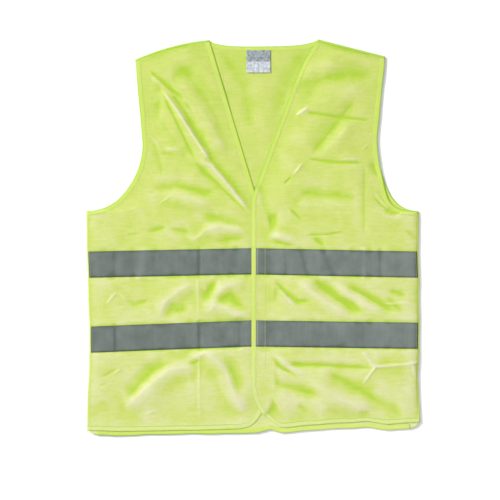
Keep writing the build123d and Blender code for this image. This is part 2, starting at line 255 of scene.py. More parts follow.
# Each crease is (height, width to its left, width to its right, sharpness, points).  Height is positive
# for a ridge and negative for a valley; left and right are as seen going along its points; sharpness is 1
# for a crest like a pressed fold, 0 for a rounded one and 2 for two flat facets that meet in an edge.
# They are where packing and handling left them.
LEFT_CREASES = [
    # from the shoulder to the foot of the neck edge
    (-2.8, 36, 38, 0.2, [(85, 250), (115, 285), (135, 305), (240, 315)]),
    (2.2, 30, 30, 0.2, [(90, 290), (115, 320), (180, 330)]),
    (2.2, 10, 20, 1, [(80, 230), (112, 251)]),
    (-2.0, 14, 16, 1, [(98, 240), (165, 230), (230, 223)]),
    (-2.5, 28, 28, 0.4, [(205, 272), (160, 215), (108, 150)]),
    (1.8, 26, 28, 0.4, [(196, 225), (130, 152)]),
    (-2.2, 12, 14, 1, [(103, 151), (160, 143), (215, 142)]),
    (2.0, 12, 14, 1, [(76, 116), (101, 146)]),
    (-1.8, 10, 12, 1, [(60, 100), (78, 118)]),
    (-1.5, 18, 18, 0.5, [(225, 150), (245, 112)]),
    (-2.0, 26, 26, 0.3, [(80, 89), (145, 80), (212, 76)]),
    (1.6, 26, 26, 0.2, [(78, 62), (180, 66)]),
    (-2.0, 10, 12, 1, [(68, 60), (100, 30)]),
    (-3.2, 24, 24, 0.5, [(10, 14), (32, 28), (54, 52)]),
    (2.6, 20, 20, 0.5, [(22, 6), (55, 2), (92, -10)]),
    (-2.1, 14, 14, 0.8, [(30, -4), (90, -18)]),
    (-1.5, 10, 10, 1, [(98, 5), (145, 6), (182, 13)]),
    (-1.8, 14, 14, 0.6, [(115, 3), (142, -18)]),
    (-1.5, 16, 16, 0.5, [(250, 60), (284, 46)]),
    (-0.9, 16, 16, 0.8, [(215, 150), (213, -5)]),
    (1.2, 8, 8, 1, [(166, 149), (212, 152)]),
    (1.4, 8, 8, 1, [(209, 168), (226, 180)]),
    (1.6, 8, 10, 1, [(232, 96), (258, 70), (300, 56)]),
    (-1.6, 9, 9, 1, [(232, 84), (262, 58), (306, 40)]),
    (1.3, 9, 9, 1, [(246, 50), (290, 34)]),
    (-1.6, 12, 12, 0.6, [(290, 18), (318, -6)]),
    # between the tapes
    (-2.4, 14, 14, 0.9, [(40, -76), (62, -102), (88, -122), (118, -120)]),
    (2.2, 12, 14, 1, [(50, -94), (86, -134)]),
    (-1.8, 16, 16, 0.5, [(26, -126), (52, -95)]),
    (-3.6, 28, 28, 0.5, [(110, -74), (165, -114), (218, -146)]),
    (2.8, 26, 26, 0.5, [(78, -76), (140, -122), (192, -152)]),
    (2.6, 24, 24, 0.5, [(150, -84), (215, -126), (260, -148)]),
    (-2.8, 20, 20, 0.6, [(165, -84), (220, -110), (278, -146)]),
    (-1.8, 14, 14, 0.6, [(252, -98), (298, -112)]),
    (1.5, 10, 10, 1, [(244, -127), (292, -124), (316, -132)]),
    (-1.8, 14, 14, 0.5, [(250, -106), (290, -148)]),
    # below the lower tape
    (-2.4, 14, 14, 0.9, [(28, -222), (60, -250), (96, -268)]),
    (2.2, 12, 14, 0.9, [(38, -218), (75, -247), (106, -266)]),
    (-2.6, 16, 16, 0.7, [(54, -242), (140, -243), (232, -249)]),
    (2.6, 10, 18, 1, [(208, -212), (235, -246), (305, -240), (330, -230)]),
    (2.2, 10, 12, 1, [(210, -282), (235, -246), (242, -236)]),
    (2.2, 10, 12, 1, [(300, -230), (305, -240), (320, -285)]),
    (-4.0, 36, 36, 0.4, [(136, -250), (210, -292), (288, -346)]),
    (-3.2, 30, 30, 0.4, [(4, -252), (55, -280), (142, -304)]),
    (2.6, 36, 36, 0.3, [(96, -266), (180, -314), (234, -338)]),
    (-1.5, 16, 16, 0.5, [(84, -316), (110, -332)]),
    (1.4, 10, 10, 1, [(36, -296), (62, -334)]),
    (-1.5, 16, 16, 0.5, [(198, -333), (230, -344)]),
]
RIGHT_CREASES = [
    # from the shoulder to the foot of the neck edge, with two long pressed folds one below the other
    (-2.4, 14, 16, 1, [(-197, 320), (-168, 297), (-126, 262)]),
    (1.8, 16, 18, 1, [(-196, 312), (-142, 264)]),
    (-1.4, 10, 10, 1, [(-130, 262), (-110, 236)]),
    (3.8, 10, 36, 2, [(-176, 290), (-140, 240), (-108, 190), (-74, 138)]),
    (-2.2, 16, 20, 0.8, [(-172, 280), (-145, 225), (-105, 142)]),
    (3.2, 9, 22, 2, [(-104, 150), (-76, 138), (-40, 95), (0, 44)]),
    (-1.4, 10, 10, 1, [(-86, 272), (-56, 258)]),
    (-1.2, 10, 10, 1, [(-206, 262), (-180, 266)]),
    (1.2, 8, 8, 1, [(-202, 161), (-184, 160)]),
    (1.3, 8, 10, 1, [(-180, 62), (-150, 82)]),
    (-1.3, 10, 8, 1, [(-152, 98), (-118, 92)]),
    (-1.3, 8, 8, 1, [(-246, 4), (-206, 9)]),
    (-2.2, 14, 18, 0.8, [(-112, 148), (-60, 98), (-4, 44)]),
    (-3.0, 36, 36, 0.3, [(-147, 344), (-90, 270), (-45, 208), (-14, 152)]),
    (2.4, 34, 34, 0.3, [(-147, 318), (-85, 228), (-45, 152)]),
    (1.6, 30, 30, 0.2, [(-108, 342), (-55, 262)]),
    (-1.8, 24, 24, 0.4, [(-132, 240), (-70, 142), (-4, 64)]),
    (-2.8, 20, 22, 0.5, [(-170, 270), (-188, 234), (-210, 222)]),
    (1.8, 10, 12, 1, [(-195, 197), (-171, 170)]),
    (-1.8, 12, 14, 0.8, [(-190, 192), (-178, 145), (-167, 112)]),
    (-1.5, 10, 10, 1, [(-177, 161), (-145, 160)]),
    (1.3, 14, 14, 0.8, [(-174, 171), (-126, 166)]),
    (-2.5, 22, 22, 0.4, [(-200, 92), (-140, 100), (-100, 87), (-60, 86)]),
    (1.9, 26, 26, 0.3, [(-175, 86), (-120, 74), (-72, 64)]),
    (-2.5, 22, 22, 0.4, [(-108, 52), (-50, 31), (-4, 20)]),
    (2.5, 20, 20, 0.5, [(-108, 9), (-60, 23), (-4, 13)]),
    (-2.1, 12, 14, 0.9, [(-202, 10), (-158, 22)]),
    (-1.9, 12, 14, 0.8, [(-162, 17), (-114, 10)]),
    (-2.1, 20, 20, 0.4, [(-76, -8), (-4, 3)]),
    (1.7, 14, 14, 0.8, [(-130, 5), (-108, -3), (-83, 16)]),
    # between the tapes
    (1.7, 10, 10, 1, [(-283, -129), (-259, -101)]),
    (-2.0, 12, 14, 0.8, [(-247, -117), (-224, -127), (-190, -116)]),
    (1.5, 8, 8, 1, [(-259, -104), (-236, -122)]),
    (2.6, 28, 24, 0.5, [(-180, -156), (-163, -120), (-138, -101), (-102, -82)]),
    (-1.4, 20, 20, 0.4, [(-168, -157), (-144, -118)]),
    (-1.3, 18, 18, 0.4, [(-152, -144), (-118, -131)]),
    (-3.1, 20, 20, 0.5, [(-103, -92), (-86, -109), (-62, -76)]),
    (-2.9, 26, 26, 0.4, [(-78, -127), (-42, -112), (-2, -146)]),
    (2.7, 28, 26, 0.3, [(-82, -118), (-46, -92), (-5, -78)]),
    (2.9, 24, 24, 0.4, [(-98, -153), (-70, -129), (-32, -142), (-2, -156)]),
    (1.0, 9, 9, 1, [(-103, -72), (-101, -156)]),
    # below the lower tape
    (1.0, 9, 9, 1, [(-101, -212), (-99, -352)]),
    (-3.3, 28, 28, 0.4, [(-145, -234), (-194, -254), (-246, -314)]),
    (3.3, 30, 32, 0.4, [(-96, -242), (-160, -253), (-205, -290), (-250, -332)]),
    (-1.5, 14, 14, 0.7, [(-122, -242), (-90, -231)]),
    (3.3, 28, 28, 0.5, [(-130, -237), (-88, -219), (-50, -250), (-30, -308), (-4, -341)]),
    (-3.1, 28, 28, 0.4, [(-56, -221), (-34, -262), (-20, -308)]),
    (1.4, 10, 10, 1, [(-272, -261), (-250, -248)]),
    (-1.3, 10, 10, 1, [(-297, -268), (-258, -249)]),
    (-3.2, 38, 38, 0.2, [(-314, -326), (-275, -352)]),
    (-2.0, 22, 22, 0.3, [(-262, -356), (-202, -352)]),
    (-1.7, 16, 16, 0.4, [(-163, -348), (-108, -349)]),
    (1.3, 8, 8, 1, [(-206, -337), (-176, -326)]),
    (-1.2, 8, 8, 1, [(-300, -284), (-276, -276)]),
]
RIGHT_TAPE_CREASES = [
    (-1.0, 9, 9, 0.9, [(-102, 15), (-100, -110)]),
    (-0.8, 26, 26, 0.3, [(-30, 15), (-34, -110)]),
    (0.8, 20, 20, 0.3, [(-201, 15), (-216, -110)]),
    (-0.7, 14, 14, 0.5, [(-262, 10), (-268, -112)]),
    (-1.0, 9, 9, 0.9, [(-102, -122), (-99, -248)]),
    (-0.9, 10, 10, 0.8, [(-267, -130), (-265, -255)]),
    (-0.9, 18, 18, 0.5, [(-26, -120), (-22, -246)]),
    (0.8, 24, 24, 0.3, [(-145, -130), (-153, -255)]),
]
LEFT_TAPE_CREASES = [
    (-0.7, 14, 14, 0.6, [(60, 15), (67, -110)]),
    (-0.8, 14, 14, 0.6, [(84, 15), (115, -112)]),
    (-0.8, 18, 18, 0.5, [(124, 12), (168, -114)]),
    (0.6, 9, 9, 0.9, [(214, 12), (214, -114)]),
    (-0.7, 10, 10, 0.8, [(242, 12), (244, -114)]),
    (-0.7, 24, 24, 0.3, [(14, -124), (62, -246)]),
    (0.7, 30, 30, 0.3, [(148, -126), (212, -250)]),
    (-0.7, 26, 26, 0.3, [(107, -126), (138, -248)]),
]
BACK_CREASES = [
    (-1.0, 30, 30, 0.2, [(105, 368), (70, 300), (45, 230)]),
    (1.0, 34, 34, 0.3, [(12, 320), (28, 260), (20, 170)]),
    (-0.9, 26, 26, 0.3, [(-60, 360), (-15, 290), (2, 200)]),
]


def crease_field(x, y, creases):
    """Sum of the heights of a list of creases."""
    total = np.zeros_like(x)
    for height, left_width, right_width, sharpness, points in creases:
        points = np.array(points, float)
        steps = np.diff(points, axis=0)
        lengths = np.hypot(steps[:, 0], steps[:, 1])
        starts = np.concatenate([[0], np.cumsum(lengths)])
        near = np.full_like(x, 1e9)
        along = np.zeros_like(x)
        width = np.full_like(x, float(left_width))
        thin = sharpness == 1 and max(left_width, right_width) < THIN_WIDTH
        for point, step, length, start in zip(points, steps, lengths, starts):
            t = ((x - point[0]) * step[0] + (y - point[1]) * step[1]) / length**2
            t = np.clip(t, 0, 1)
            distance = np.hypot(x - point[0] - t * step[0], y - point[1] - t * step[1])
            turn = step[0] * (y - point[1]) - step[1] * (x - point[0])
            lean = smooth(0.5 + 0.5 * turn / length / 2.0)
            closer = distance < near
            near = np.where(closer, distance, near)
            along = np.where(closer, start + t * length, along)
            width = np.where(closer, mix(float(right_width), float(left_width), lean), width)
        reach = min(0.4 * starts[-1], THIN_FADE_OUT if thin else FADE_OUT)
        fade = smooth(along / reach) * smooth((starts[-1] - along) / reach)
        q = np.clip(1 - near / (width * (0.5 if thin else 1.0) * (0.55 + 0.45 * fade)), 0, 1)
        crest = 0.6 * q**2 + 0.4 * q**5
        profile = mix(smooth(q), crest, sharpness) if sharpness <= 1 else q
        pressed = CREST_LINE * min(sharpness, 1) ** 4 * np.exp(-((near / CREST_WIDTH) ** 2))
        total += height * (THIN_DEPTH if thin else 1.0) * fade * (profile + pressed)
    return total * CREASE_DEPTH


def crumple(x, y, scale, seed):
    """A network of faint sharp creases between soft dents, about -1 to 1."""
    bend_x = x + 0.35 * scale * noise(x, y, 0.8 * scale, seed + 1)
    bend_y = y + 0.35 * scale * noise(x, y, 0.8 * scale, seed + 2)
    return 1 - 2.2 * np.abs(noise(bend_x, bend_y, scale, seed))


def tape_zone(panel, x, y):
    """1 under a tape, falling to 0 a little way outside it."""
    zone = np.zeros_like(x)
    for level in TAPE_LEVELS:
        top = tape_top_y(panel, level, x)
        outside = np.maximum(y - top, top - TAPE_WIDTH - y)
        zone = np.maximum(zone, 1 - smooth(outside / 9.0))
    return zone


def tape_edge_ripple(panel, x, y):
    """Small puckers that the tape's stitching pulls into the cloth beside it."""
    ripple = np.zeros_like(x)
    for level in TAPE_LEVELS:
        top = tape_top_y(panel, level, x)
        for edge, seed in ((top, 5), (top - TAPE_WIDTH, 9)):
            near = np.exp(-(((y - edge) / 7.0) ** 2))
            ripple += near * 0.5 * noise(x, y * 0.2, 11.0, seed + len(level) + len(panel))
            ripple -= 0.7 * np.exp(-(((y - edge) / 3.2) ** 2))
    return ripple


# ---- how high each panel lies

def rounded(distance, reach):
    """Rises from 0 at an edge to 1, like the side of a soft fold."""
    q = 1 - np.clip(distance / reach, 0, 1)
    return np.sqrt(1 - q * q)


def shoulder_distance(side, x, y):
    """How far a point lies below a shoulder line."""
    (neck_x, neck_y), (tip_x, tip_y) = NECK[side], TIP[side]
    length = np.hypot(tip_x - neck_x, tip_y - neck_y)
    return np.abs(shoulder_y(x, side) - y) * np.abs(tip_x - neck_x) / length


def back_height(x, y):
    """Middle of the back panel's cloth above the floor."""
    wave = 1.3 + 0.45 * noise(x, y, 85, 3) + 0.3 * crumple(x, y, 70, 4)
    wave *= 1 - TAPE_CALM * tape_zone("back", x, y)
    hem_lift = HEM_LIFT * (1 - smooth((y - HEM["back"][0]) / 50.0))
    return TAPE + CLOTH / 2 + 0.2 + hem_lift + np.clip(wave + crease_field(x, y, BACK_CREASES), 0, 4)


FRONT_BASE = {"left": 7.4, "right": 5.6}     # height of the cloth in the middle of each front,
OPEN_BASE = {"left": 4.4, "right": 3.4}      # beside its armhole and hem,
FREE_BASE = {"left": 3.3, "right": 2.6}      # and at its free edge
OPEN_SLOPE = 70.0               # how far in from the armhole and hem,
FREE_SLOPE = 60.0               # from the free edge
SEAM_ROLL = 24.0                # and from a seam it reaches its full height
SEAM_Z = 3.0                    # height of the side and shoulder seams
HEM_LIFT = 1.6                  # how far the back's hem stands up from the floor
STRIP_GAP = 2.5                 # room for the hook and loop strips between the two fronts
# The hems and sides don't lie quite straight: how far a hem has been pushed towards +Y, by its x, and each
# side edge towards +X, by its y
HEM_SWAY = [
    (-316, -1), (-230, -3), (-130, -2), (10, -2), (35, 5), (56, -2), (150, 4), (220, 6), (258, 0), (316, 2),
]
SIDE_SWAY = {
    "left": [(-375, 4), (-330, 3), (-262, 0), (-215, 3), (-170, 3), (-80, 2), (-25, 0), (50, 1), (120, 0)],
    "right": [(-375, 3), (-330, 3), (-265, 6), (-215, 8), (-170, 7), (-80, 4), (-25, 2), (50, 1), (120, 0)],
}
HEM_SWAY_REACH = 45.0           # how far up from the hem its sway is felt
# The left front has slipped in and down below its armhole, so that the back's edge shows beside it
SLIP_CENTRE = (266, 78)
SLIP_REACH = (40, 36)
SLIP = (4.0, 9.0)


def front_height(side, x, y):
    """Middle of a front panel's cloth above the floor."""
    creases = LEFT_CREASES if side == "left" else RIGHT_CREASES
    tape_creases = LEFT_TAPE_CREASES if side == "left" else RIGHT_TAPE_CREASES
    free = np.abs(x - free_edge_x(y, side))
    side_gap = np.where(y < ARMPIT_Y + 30, HALF_WIDTH - np.abs(x), FAR)
    seam_gap = np.minimum(side_gap, shoulder_distance(side, x, y))
    armhole_gap = np.where(y > ARMPIT_Y, np.abs(outer_x(y, side) - x), FAR)
    hem_gap = y - HEM[side][0]
    open_gap = np.minimum(armhole_gap, hem_gap)
    base = mix(OPEN_BASE[side], FRONT_BASE[side], smooth(open_gap / OPEN_SLOPE))
    base = mix(FREE_BASE[side], base, smooth(free / FREE_SLOPE))
    taped = tape_zone(side, x, y)
    folds = crease_field(x, y, creases)
    calm = 1 - TAPE_CALM * taped
    wave = 0.7 * noise(x, y, 95, 11 + len(side)) + 0.35 * noise(x, y, 41, 21 + len(side))
    wave += 0.55 * crumple(x, y, 80, 31 + len(side)) + 0.16 * crumple(x, y, 36, 71 + len(side))
    fine = 0.1 * noise(x, y, 12, 41 + len(side))
    z = base + (folds + wave) * calm + fine + tape_edge_ripple(side, x, y)
    z += crease_field(x, y, tape_creases) * taped
    z = mix(SEAM_Z, z, rounded(seam_gap, SEAM_ROLL))
    # the cloth rests softly on what lies under it: the back and, for the left front, the right front's edge
    under = back_height(x, y) + mix(1.0, 1.6, smooth(free / 30.0))
    if side == "left":
        past_edge = x - free_edge_x(y, "right")
        covered = 1 - smooth((past_edge - 4.0) / 14.0)
        under = mix(under, front_height("right", x, y) + STRIP_GAP, covered)
    return under + np.logaddexp(0, (z - under) * 2.0) / 2.0


def surface(panel, x, y):
    """Where a point of a panel's pattern lies, as an array of millimetres."""
    x = np.asarray(x, float)
    y = np.asarray(y, float)
    z = back_height(x, y) if panel == "back" else front_height(panel, x, y)
    sway = np.interp(x, *zip(*HEM_SWAY)) + 1.2 * noise(x, 0 * y, 30, 51 + len(panel))
    move_y = sway * smooth(1 - (y - HEM[panel][0]) / HEM_SWAY_REACH)
    move_x = 1.1 * noise(y, 0 * x, 44, 61 + len(panel)) * smooth(np.abs(x) / 200.0 - 0.4)
    for side, sign in SIDE.items():
        near_side = smooth((sign * x - 180.0) / 130.0)
        move_x = move_x + np.interp(y, *zip(*SIDE_SWAY[side])) * near_side
    if panel == "left":
        away_x = (x - SLIP_CENTRE[0]) / SLIP_REACH[0]
        away_y = (y - SLIP_CENTRE[1]) / SLIP_REACH[1]
        slip = np.exp(-(away_x**2) - away_y**2)
        move_x = move_x - SLIP[0] * slip
        move_y = move_y - SLIP[1] * slip
    return np.stack([x + move_x, y + move_y, z], axis=-1)


# ---- mesh makers

def normals_of(grid):
    """Unit normals of a grid of points."""
    across = np.gradient(grid, axis=1)
    up = np.gradient(grid, axis=0)
    normal = np.cross(across, up)
    normal /= np.linalg.norm(normal, axis=-1, keepdims=True)
    return normal * np.sign(normal[..., 2:3].mean())


def relief_of(z, passes=40):
    """How far each point of a grid stands above its surroundings, in millimetres; crests count for less."""
    level = z.copy()
    for _ in range(passes):
        padded = np.pad(level, 1, mode="edge")
        level = (padded[:-2, 1:-1] + padded[2:, 1:-1] + padded[1:-1, :-2] + padded[1:-1, 2:]) / 4
    rise = z - level
    return np.where(rise > 0, 0.45 * rise, rise)


def make_mesh(name, points, faces, uv, material, relief=None):
    """A mesh object from points in millimetres, with its rest pattern as UVs in metres."""
    mesh = bpy.data.meshes.new(name)
    mesh.from_pydata((np.asarray(points) * MM).tolist(), [], faces)
    mesh.validate()
    layer = mesh.uv_layers.new(name="pattern")
    corners = np.empty(len(mesh.loops), int)
    mesh.loops.foreach_get("vertex_index", corners)
    layer.data.foreach_set("uv", (np.asarray(uv) * MM)[corners].ravel())
    if relief is not None:
        mesh.attributes.new("relief", "FLOAT", "POINT").data.foreach_set("value", relief)
    mesh.shade_smooth()
    piece = bpy.data.objects.new(name, mesh)
    bpy.context.scene.collection.objects.link(piece)
    piece.data.materials.append(material)
    return piece


def shell(name, grid, thickness, pattern, material):
    """A closed sheet: a grid of points thickened both ways, with its four edges walled."""
    rows, columns = grid.shape[:2]
    normal = normals_of(grid)
    top = (grid + normal * thickness / 2).reshape(-1, 3)
    bottom = (grid - normal * thickness / 2).reshape(-1, 3)
    index = np.arange(rows * columns).reshape(rows, columns)
    a, b, c, d = index[:-1, :-1], index[:-1, 1:], index[1:, 1:], index[1:, :-1]
    quads = np.stack([a, b, c, d], axis=-1).reshape(-1, 4)
    under = quads[:, ::-1] + rows * columns
    rim = np.concatenate([index[0, :-1], index[:-1, -1], index[-1, :0:-1], index[:0:-1, 0]])
    ahead = np.roll(rim, -1)
    wall = np.stack([ahead, rim, rim + rows * columns, ahead + rows * columns], axis=-1)
    faces = np.concatenate([quads, under, wall])
    if np.cross(grid[0, 1] - grid[0, 0], grid[1, 0] - grid[0, 0])[2] < 0:
        faces = faces[:, ::-1]
    uv = np.concatenate([pattern.reshape(-1, 2)] * 2)
    relief = np.concatenate([relief_of(grid[..., 2]).ravel(), relief_of(-grid[..., 2]).ravel()])
    return make_mesh(name, np.concatenate([top, bottom]), faces.tolist(), uv, material, relief)


def swept(name, rings, uv_rings, material):
    """A closed band: rings of points joined along its length, with capped ends."""
    count, around = rings.shape[:2]
    index = np.arange(count * around).reshape(count, around)
    nxt = np.roll(index, -1, axis=1)
    quads = np.stack([index[:-1], nxt[:-1], nxt[1:], index[1:]], axis=-1).reshape(-1, 4)
    faces = quads.tolist() + [index[0, ::-1].tolist(), index[-1].tolist()]
    piece = make_mesh(name, rings.reshape(-1, 3), faces, uv_rings.reshape(-1, 2), material)
    face_outwards(piece)
    return piece


def face_outwards(piece):
    """Turns every face of a closed mesh outwards."""
    work = bmesh.new()
    work.from_mesh(piece.data)
    bmesh.ops.recalc_face_normals(work, faces=work.faces)
    work.to_mesh(piece.data)
    work.free()


def resampled(path, spacing, soften=0):
    """A path with evenly spaced points and, if asked, its corners eased."""
    path = np.array(path, float)
    length = run_along(path)
    at = np.linspace(0, length[-1], max(3, int(length[-1] / spacing) + 1))
    even = np.stack([np.interp(at, length, path[:, k]) for k in range(path.shape[1])], axis=1)
    for _ in range(soften):
        even[1:-1] = (even[:-2] + 2 * even[1:-1] + even[2:]) / 4
    return even


def inward(path, turn):
    """Unit normals of a flat path, on its left for turn 1 and on its right for turn -1."""
    step = np.gradient(path, axis=0)
    step /= np.linalg.norm(step, axis=1, keepdims=True)
    return np.stack([-step[:, 1], step[:, 0]], axis=1) * turn


# Half of the binding's section: how far in from the edge, how far above the cloth's middle
BINDING_SECTION = [
    (8.5, 0.27), (8.2, 0.37), (7.2, 0.42), (5.5, 0.46), (3.2, 0.52), (1.2, 0.5), (0.1, 0.4), (-0.4, 0.2),
]


def binding_rings(panel, path, turn):
    """Rings of a binding that wraps one edge of a panel, and their pattern coordinates."""
    side = inward(path, turn)
    half = BINDING_SECTION + [(w, -h) for w, h in reversed(BINDING_SECTION)]
    run = run_along(path)
    pucker = 1 + 0.22 * noise(run, 0 * run, 4.5, 77)
    rings = []
    uvs = []
    for width, height in half:
        flat = path + side * width
        clipped = path + side * max(width, 0.5)
        place = surface(panel, clipped[:, 0], clipped[:, 1])
        place[:, :2] += flat - clipped
        place[:, 2] += height * pucker
        rings.append(place)
        uvs.append(np.stack([run, np.full_like(run, width)], axis=1))
    return np.stack(rings, axis=1), np.stack(uvs, axis=1)


STITCH = 2.7                    # length of one stitch


def stitches(name, runs, material, gap, radius):
    """Rows of thread: each run is a path of points in millimetres that the thread lies along."""
    ring = np.array([(np.cos(a), np.sin(a)) for a in np.arange(4) * np.pi / 2])
    points = []
    faces = []
    for run in runs:
        total = run_along(run)
        for start in np.arange(0, total[-1] - STITCH, STITCH + gap):
            at = start + np.array([0, 0.15, 0.5, 0.85, 1.0]) * STITCH
            spine = np.stack([np.interp(at, total, run[:, k]) for k in range(3)], axis=1)
            spine[:, 2] += np.array([-0.2, 0.02, 0.06, 0.02, -0.2])
            ahead = spine[-1] - spine[0]
            ahead /= np.linalg.norm(ahead)
            sideways = np.cross(ahead, (0, 0, 1))
            sideways /= np.linalg.norm(sideways)
            base = len(points)
            points.append(spine[0])
            for k in (1, 2, 3):
                for c, s in ring:
                    points.append(spine[k] + radius * (c * sideways + s * np.array([0, 0, 1.0])))
            points.append(spine[-1])
            for c in range(4):
                d = (c + 1) % 4
                faces.append((base, base + 1 + d, base + 1 + c))
                faces.append((base + 13, base + 9 + c, base + 9 + d))
                for k in (0, 4):
                    faces.append((base + 1 + k + c, base + 1 + k + d, base + 5 + k + d, base + 5 + k + c))
    uv = np.array(points)[:, :2]
    piece = make_mesh(name, points, faces, uv, material)
    face_outwards(piece)
    return piece


# ---- materials

class Finish:
    """A material with one shader, and the nodes that feed it."""

    def __init__(self, name, colour, roughness, sheen=0.0, specular=0.5, translucence=0.0):
        self.material = bpy.data.materials.new(name)
        self.material.use_nodes = True
        self.tree = self.material.node_tree
        self.shader = self.tree.nodes["Principled BSDF"].inputs
        values = {
            "Base Color": (*colour, 1), "Roughness": roughness, "Specular IOR Level": specular,
            "Sheen Weight": sheen, "Sheen Roughness": 0.5, "Subsurface Weight": translucence,
            "Subsurface Radius": (0.8, 1.0, 0.3), "Subsurface Scale": 3.0 * MM,
        }
        for key, value in values.items():
            self.shader[key].default_value = value

    def node(self, kind, output, inputs, **settings):
        """One output of a new node with its settings and its input values or links."""
        made = self.tree.nodes.new(f"ShaderNode{kind}")
        for key, value in settings.items():
            setattr(made, key, value)
        for key, value in inputs.items():
            if isinstance(value, bpy.types.NodeSocket):
                self.tree.links.new(value, made.inputs[key])
            else:
                made.inputs[key].default_value = value
        return made.outputs[output]

    def feed(self, key, value):
        """Links a value to one of the shader's own sockets."""
        self.tree.links.new(value, self.shader[key])

    def pattern(self):
        """The cloth's own flat coordinates, in metres."""
        return self.node("UVMap", "UV", {}, uv_map="pattern")

    def part(self, vector, axis):
        """X or Y of a vector."""
        return self.node("SeparateXYZ", axis, {"Vector": vector})

    def relief(self):
        """How far the cloth stands above its surroundings."""
        return self.node("Attribute", "Fac", {}, attribute_name="relief")

    def math(self, operation, first, second):
        """A scalar sum, product or other operation of two values."""
        return self.node("Math", 0, {0: first, 1: second}, operation=operation)

    def sum(self, *parts):
        """Sum of several values, each times its own weight."""
        total = 0.0
        for value, weight in parts:
            total = self.math("ADD", total, self.math("MULTIPLY", value, weight))
        return total

    def ribs(self, vector, direction, period_mm):
        """Regular ribs, one every period_mm along U, V or their diagonal."""
        inputs = {"Vector": vector, "Scale": 2 * np.pi / (20.0 * period_mm * MM), "Distortion": 0.0}
        return self.node("TexWave", "Fac", inputs, bands_direction=direction, wave_profile="SIN")

    def noise(self, vector, scale_mm, detail=2.0, roughness=0.5, output="Fac"):
        """Noise whose features are about scale_mm across."""
        inputs = {"Vector": vector, "Scale": 1000.0 / scale_mm, "Detail": detail, "Roughness": roughness}
        return self.node("TexNoise", output, inputs)

    def stretch(self, value, low, high, to_low=0.0, to_high=1.0):
        """Stretches the values between low and high to 0 and 1, or to another pair of ends."""
        inputs = {"Value": value, "From Min": low, "From Max": high, "To Min": to_low, "To Max": to_high}
        return self.node("MapRange", "Result", inputs)

    def mottle(self, vector, scale_mm, detail, roughness, low=0.3):
        """Noise with its contrast raised."""
        return self.stretch(self.noise(vector, scale_mm, detail, roughness), low, 1 - low)

    def pressed_lines(self, vector, scale_mm, width_mm):
        """A broken net of fine creases: 1 on a crease, 0 beside it."""
        drift = {0: self.noise(vector, scale_mm, output="Color"), "Scale": 0.7 * scale_mm * MM}
        shift = self.node("VectorMath", "Vector", drift, operation="SCALE")
        moved = self.node("VectorMath", "Vector", {0: vector, 1: shift}, operation="ADD")
        inputs = {"Vector": moved, "Scale": 1000.0 / scale_mm}
        kind = {"voronoi_dimensions": "2D", "feature": "DISTANCE_TO_EDGE"}
        line = self.stretch(self.node("TexVoronoi", "Distance", inputs, **kind), width_mm / scale_mm, 0.0)
        broken = self.stretch(self.noise(vector, scale_mm * 0.7), 0.5, 0.68)
        return self.math("MULTIPLY", line, broken)

    def blend(self, factor, dark, light):
        """A colour between dark and light, each of which is a colour or a socket that gives one."""
        ends = {key: (*end, 1) if isinstance(end, tuple) else end for key, end in (("A", dark), ("B", light))}
        return self.node("Mix", "Result", {"Factor": factor, **ends}, data_type="RGBA")

    def bump(self, height, distance_mm, strength):
        """Raises the surface by up to distance_mm where height is 1."""
        inputs = {"Height": height, "Distance": distance_mm * MM, "Strength": strength}
        self.feed("Normal", self.node("Bump", "Normal", inputs))


def knit_material():
    """Warp-knitted polyester: fine wales and courses, slightly uneven dye, with painted shade in valleys,
    painted highlights on crests and along fine creases, and painted light that grows paler towards the hem.
    """
    knit = Finish("lime_knit", KNIT_MID, 0.62, sheen=0.06, specular=0.14, translucence=0.4)
    uv = knit.pattern()
    loops = knit.math("MULTIPLY", knit.ribs(uv, "X", 1.3), knit.ribs(uv, "Y", 1.1))
    grain = knit.mottle(uv, 4.5, 5.0, 0.75)
    patches = knit.mottle(uv, 60.0, 3.0, 0.55)
    stretched = knit.node("Mapping", "Vector", {"Vector": uv, "Scale": (0.2, 1.0, 1.0)})
    slubs = knit.mottle(stretched, 5.0, 3.0, 0.6)
    lines = knit.pressed_lines(uv, 42.0, 1.6)
    # the fine crease lines also lighten the colour as painted highlights; the rest is the knit's own uneven
    # tone
    woven = knit.sum((loops, 0.1), (patches, 0.24), (grain, 0.18), (slubs, 0.2), (lines, 0.16))
    # painted shade in the valleys and painted highlights on the crests, from the relief, and painted light
    # that grows paler towards the hem
    painted_shade_and_light = knit.sum((knit.relief(), 0.6), (knit.part(uv, "Y"), -0.45))
    shade = knit.node("ValToRGB", "Color", {"Fac": knit.math("ADD", knit.math("ADD", woven, painted_shade_and_light), 0.2)})
    ramp = shade.node.color_ramp
    ramp.elements[0].color = (*KNIT_DARK, 1)
    ramp.elements[1].color = (*KNIT_LIGHT, 1)
    ramp.elements.new(0.5).color = (*KNIT_MID, 1)
    knit.feed("Base Color", shade)
    knit.bump(knit.sum((loops, 0.5), (grain, 1.0), (slubs, 0.6), (lines, 1.6)), 0.2, 0.55)
    return knit.material


